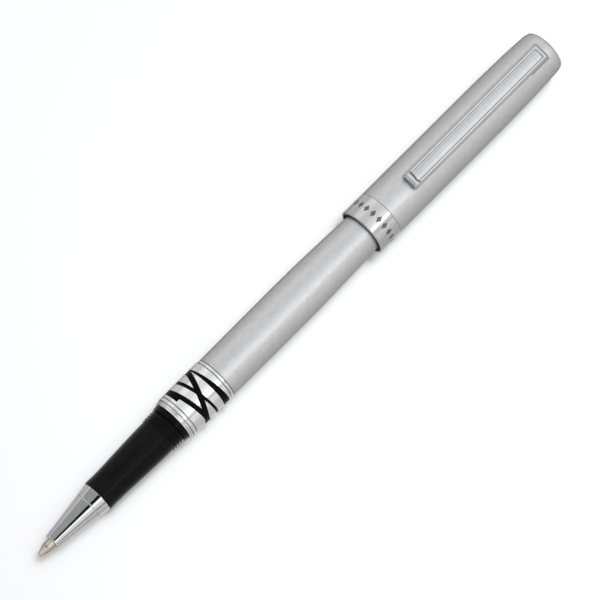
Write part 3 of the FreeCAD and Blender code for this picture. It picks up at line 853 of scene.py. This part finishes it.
def make_cap_shell():
    """The cap's drawn shell, with a slot for the clip."""
    front, rear, radius = span("cap_shell")
    neck_rear = span("cap_band")[1]
    taper = curve_through([
        (61.0, radius), (62.1, radius), (69.5, 6.12), (74.5, 6.0), (79.0, 5.83), (82.0, 5.68)])
    neck = [
        (front, CAP_BORE), (front, CAP_NECK_RADIUS), (neck_rear, CAP_NECK_RADIUS),
        (neck_rear, radius, 0.1)]
    crown = [(83.35, 5.3, 0.8), (rear, 2.6, 1.5), (rear, 0)]
    inside = [(82.0, 0), (82.0, 4.5), (80.4, CAP_BORE)]
    outline = fillet(neck + taper + crown + inside)
    slot_front = 74.9
    slot_rear = 80.7
    slot_half = 2.38
    slot = prism_mesh("slot", [
        (slot_front, -slot_half), (slot_rear, -slot_half), (slot_rear, slot_half),
        (slot_front, slot_half)], 3.6, 9.0)
    shell = boolean(turned_mesh("blank", outline, BOOLEAN_SEGMENTS), [slot], "DIFFERENCE")
    place("cap_shell", shell, MATERIALS["satin_lacquer"], "cap")


def lozenge_meshes(low, high):
    """Lozenge prisms round the cap band, from radius low to high."""
    count = 20
    station = sum(span("cap_band_motif")[:2]) / 2
    half_length = 1.0
    half_width = 0.62
    corners = [
        (station - half_length, 0), (station, half_width), (station + half_length, 0),
        (station, -half_width)]
    meshes = []
    for index in range(count):
        mesh = prism_mesh("lozenge", corners, low, high)
        angle = 2 * math.pi * (index + 0.5) / count
        lift = Vector((0, 0, AXIS_Z))
        mesh.transform(
            Matrix.Translation(lift) @ Matrix.Rotation(angle, 4, "X") @ Matrix.Translation(-lift))
        meshes.append(mesh)
    return meshes


def merged(name, meshes):
    """One mesh that holds the given ones side by side."""
    build = bmesh.new()
    for mesh in meshes:
        build.from_mesh(mesh)
    made = bpy.data.meshes.new(name)
    build.to_mesh(made)
    build.free()
    return made


def make_cap_band():
    """The band round the cap's mouth, with a ring of lozenges in dark enamel."""
    front, rear, radius = span("cap_band")
    neck_front = span("cap_shell")[0]
    band_rear = rear - 0.02
    outside = 7.0
    blank = turned_mesh("blank", fillet([
        (front, CAP_MOUTH_RADIUS, 0.06), (front, radius, 0.3), (band_rear, 6.2, 0.1),
        (band_rear, CAP_NECK_RADIUS), (neck_front, CAP_NECK_RADIUS),
        (neck_front, CAP_MOUTH_RADIUS)]), BOOLEAN_SEGMENTS)
    band = boolean(blank, [merged("motif", lozenge_meshes(6.12, outside))], "DIFFERENCE")
    # The band's chrome is darker in colour as painted shade.
    place("cap_band", band, MATERIALS["chrome_painted_shade"], "cap")
    layer = turned_mesh("layer", [
        (front + 1.0, 6.08), (front + 1.0, 6.17), (rear - 1.0, 6.16), (rear - 1.0, 6.08)],
        BOOLEAN_SEGMENTS)
    motif = boolean(layer, [merged("motif", lozenge_meshes(5.9, outside))], "INTERSECT")
    place("cap_band_motif", motif, MATERIALS["dark_enamel"], "cap")


def make_cap_liner():
    """The plastic liner: a threaded mouth, a bore and a closed cup for the pen's nose."""
    front, rear, radius = span("cap_liner")
    start = front + 0.3
    end = front + 4.4
    rows = int((end - start) / 0.06)
    thread = [
        (start + (end - start) * step / rows, LINER_THREAD_ROOT) for step in range(rows + 1)]
    cup_radius = 4.3
    cup_rear = rear - 1.0
    outline = fillet([(rear, radius, 0.2), (front, radius), (front, LINER_BORE, 0.1)] + thread + [
        (end + 0.3, LINER_BORE), (52.0, LINER_BORE), (54.0, cup_radius),
        (cup_rear, cup_radius, 0.8), (cup_rear, 0), (rear, 0)])
    lift = thread_lift(LINER_THREAD_ROOT, start, end, 0.8, 0.28)
    turned("cap_liner", outline, MATERIALS["dark_plastic"], "cap", lift=lift)


# The clip.

# Heights over the pen's axis by station: the clip's ridge tops and its underside.
CLIP_TOP = [
    (35.2, 7.25), (35.23, 7.4), (35.3, 7.56), (35.42, 7.72), (35.6, 7.87), (35.82, 7.96),
    (36.05, 8.0), (36.3, 8.01), (36.62, 8.0), (79.7, 7.5), (79.9, 7.46), (80.1, 7.34),
    (80.3, 7.12), (80.44, 6.9), (80.5, 6.65)]
CLIP_UNDERSIDE = [
    (35.2, 7.05), (35.23, 6.9), (35.3, 6.72), (35.42, 6.55), (35.6, 6.4), (35.82, 6.3),
    (36.05, 6.28), (36.4, 6.34), (37.2, 6.72), (38.0, 7.02), (40.0, 7.04), (74.2, 6.6),
    (75.05, 6.3)]
# How far the middle and the ridges lie under the ridge tops: a bead, a groove, then the recess.
CLIP_MIDDLE_DROP = [
    (36.42, 0.0), (36.62, 0.03), (36.74, 0.1), (36.84, 0.45), (36.9, 0.62), (36.98, 0.64),
    (37.05, 0.5), (37.14, 0.3), (37.3, 0.26), (78.9, 0.26), (79.05, 0.27), (79.18, 0.2),
    (79.28, 0.05), (79.4, 0.0)]
CLIP_RIDGE_DROP = [
    (36.42, 0.0), (36.62, 0.03), (36.74, 0.08), (36.84, 0.3), (36.9, 0.42), (36.98, 0.42),
    (37.05, 0.28), (37.14, 0.06), (37.3, 0.0)]
# The tang starts just behind its first station and goes down to its floor.
CLIP_TANG_FRONT = 75.1
CLIP_TANG_FLOOR = 3.9
# The crown of the recess between the ridges, and its two ends.
CLIP_CROWN = 0.1
CLIP_CROWN_FRONT = 37.1
CLIP_CROWN_REAR = 79.1
CLIP_HALF_WIDTH = 2.3
CLIP_FLANK_FALL = 0.8
# The groove behind the front bead: its station, its half width along the pen and its sway.
CLIP_GROOVE = 36.92
CLIP_GROOVE_REACH = 0.4
CLIP_GROOVE_SIDE = 1.35
CLIP_GROOVE_SWAY = 0.12


def read_off(table, station):
    """The value of a table of (station, value) at a station, held flat past its ends."""
    if station <= table[0][0]:
        return table[0][1]
    for (low, first), (high, last) in zip(table, table[1:]):
        if station <= high:
            return first + (last - first) * (station - low) / (high - low)
    return table[-1][1]


def clip_section(station):
    """The clip's closed cross-section at a station, as (side, height), from its top's middle."""
    top = read_off(CLIP_TOP, station)
    under = read_off(CLIP_UNDERSIDE, station)
    if station > CLIP_TANG_FRONT:
        under = CLIP_TANG_FLOOR
    middle = read_off(CLIP_MIDDLE_DROP, station)
    ridge = read_off(CLIP_RIDGE_DROP, station)
    crown = CLIP_CROWN if CLIP_CROWN_FRONT < station < CLIP_CROWN_REAR else 0.0
    fall = min(CLIP_FLANK_FALL, 0.7 * (top - under))
    edge = min(0.06, 0.2 * (top - under))
    front = CLIP_TOP[0][0]
    width = CLIP_HALF_WIDTH - 0.22 * max(0.0, 1 - (station - front) / 0.3) ** 2
    half = [
        (0.0, top - middle), (0.3, top - middle - 0.06 * crown),
        (0.6, top - middle - 0.25 * crown),
        (0.9, top - middle - 0.65 * crown), (1.12, top - middle - crown),
        (1.19, top - 0.97 * middle - crown), (1.25, top - 0.72 * middle - 0.2 * ridge),
        (1.3, top - 0.4 * middle - 0.4 * ridge), (1.36, top - 0.14 * middle - 0.7 * ridge),
        (1.43, top - 0.03 * middle - 0.95 * ridge), (1.51, top - ridge), (1.6, top - ridge),
        (1.68, top - ridge - 0.03 * fall), (1.75, top - 0.8 * ridge - 0.11 * fall),
        (1.83, top - 0.6 * ridge - 0.24 * fall), (2.0, top - 0.2 * ridge - 0.52 * fall),
        (2.18, top - 0.84 * fall), (width - 0.04, top - 0.94 * fall), (width, top - fall - edge),
        (width, under + edge), (width - 0.02, under + 0.3 * edge), (width - edge, under),
        (1.1, under), (0.0, under)]
    half = [(min(y, width), z) for y, z in half]
    mirrored = [(-y, z) for y, z in reversed(half[1:-1])]
    return half + mirrored


def clip_stations():
    """Every station of the tables, some along the arm, and two close by the tang's front."""
    tables = (CLIP_TOP, CLIP_UNDERSIDE, CLIP_MIDDLE_DROP, CLIP_RIDGE_DROP)
    marks = [row[0] for table in tables for row in table]
    marks += [38.0 + 4.0 * step for step in range(10)]
    marks += [CLIP_TANG_FRONT - 0.02, CLIP_TANG_FRONT + 0.01]
    return sorted(set(marks))


def groove_sway(station, side):
    """The slight S in plan of the groove behind the clip's front bead."""
    if abs(side) >= CLIP_GROOVE_SIDE:
        return 0.0
    near = max(0.0, 1 - abs(station - CLIP_GROOVE) / CLIP_GROOVE_REACH)
    return CLIP_GROOVE_SWAY * near * math.sin(math.pi * side / CLIP_GROOVE_SIDE)


def make_clip():
    """The clip: two ridges with a shallow recess between them, a rolled front end and a tang."""
    rings = [
        [((station + groove_sway(station, y)) * MM, y * MM, AXIS_Z + z * MM)
         for y, z in clip_section(station)]
        for station in clip_stations()]
    # The clip takes the same chrome, darker in colour as painted shade.
    place("clip", lofted_mesh("clip", rings), MATERIALS["chrome_painted_shade"], "clip")


def dress_cad_nodes():
    """Materials for the CAD nodes that stay as they are."""
    for name in ("barrel_bush", "ink_wick", "ink_reservoir", "clip_anchor"):
        node = frame["nodes"][name]
        node.data.materials.clear()
        node.data.materials.append(MATERIALS[SLOTS[name]])


def make_studio():
    """The camera, the tent, the floor, the flags and one soft key light."""
    make_camera()
    make_world()
    make_floor()
    make_flags()
    softbox("key", (0.2, -0.55, 1.0), 1.2, (0.9, 0.25), 1.0)
    bpy.context.scene.view_settings.view_transform = "Standard"


make_studio()
make_nose()
make_grip()
make_section_bush()
make_trim_rings()
make_trim_band()
make_barrel()
make_tail_plug()
make_spring()
make_refill()
make_refill_tip()
make_refill_end_plug()
make_writing_ball()
make_cap_shell()
make_cap_band()
make_cap_liner()
make_clip()
dress_cad_nodes()
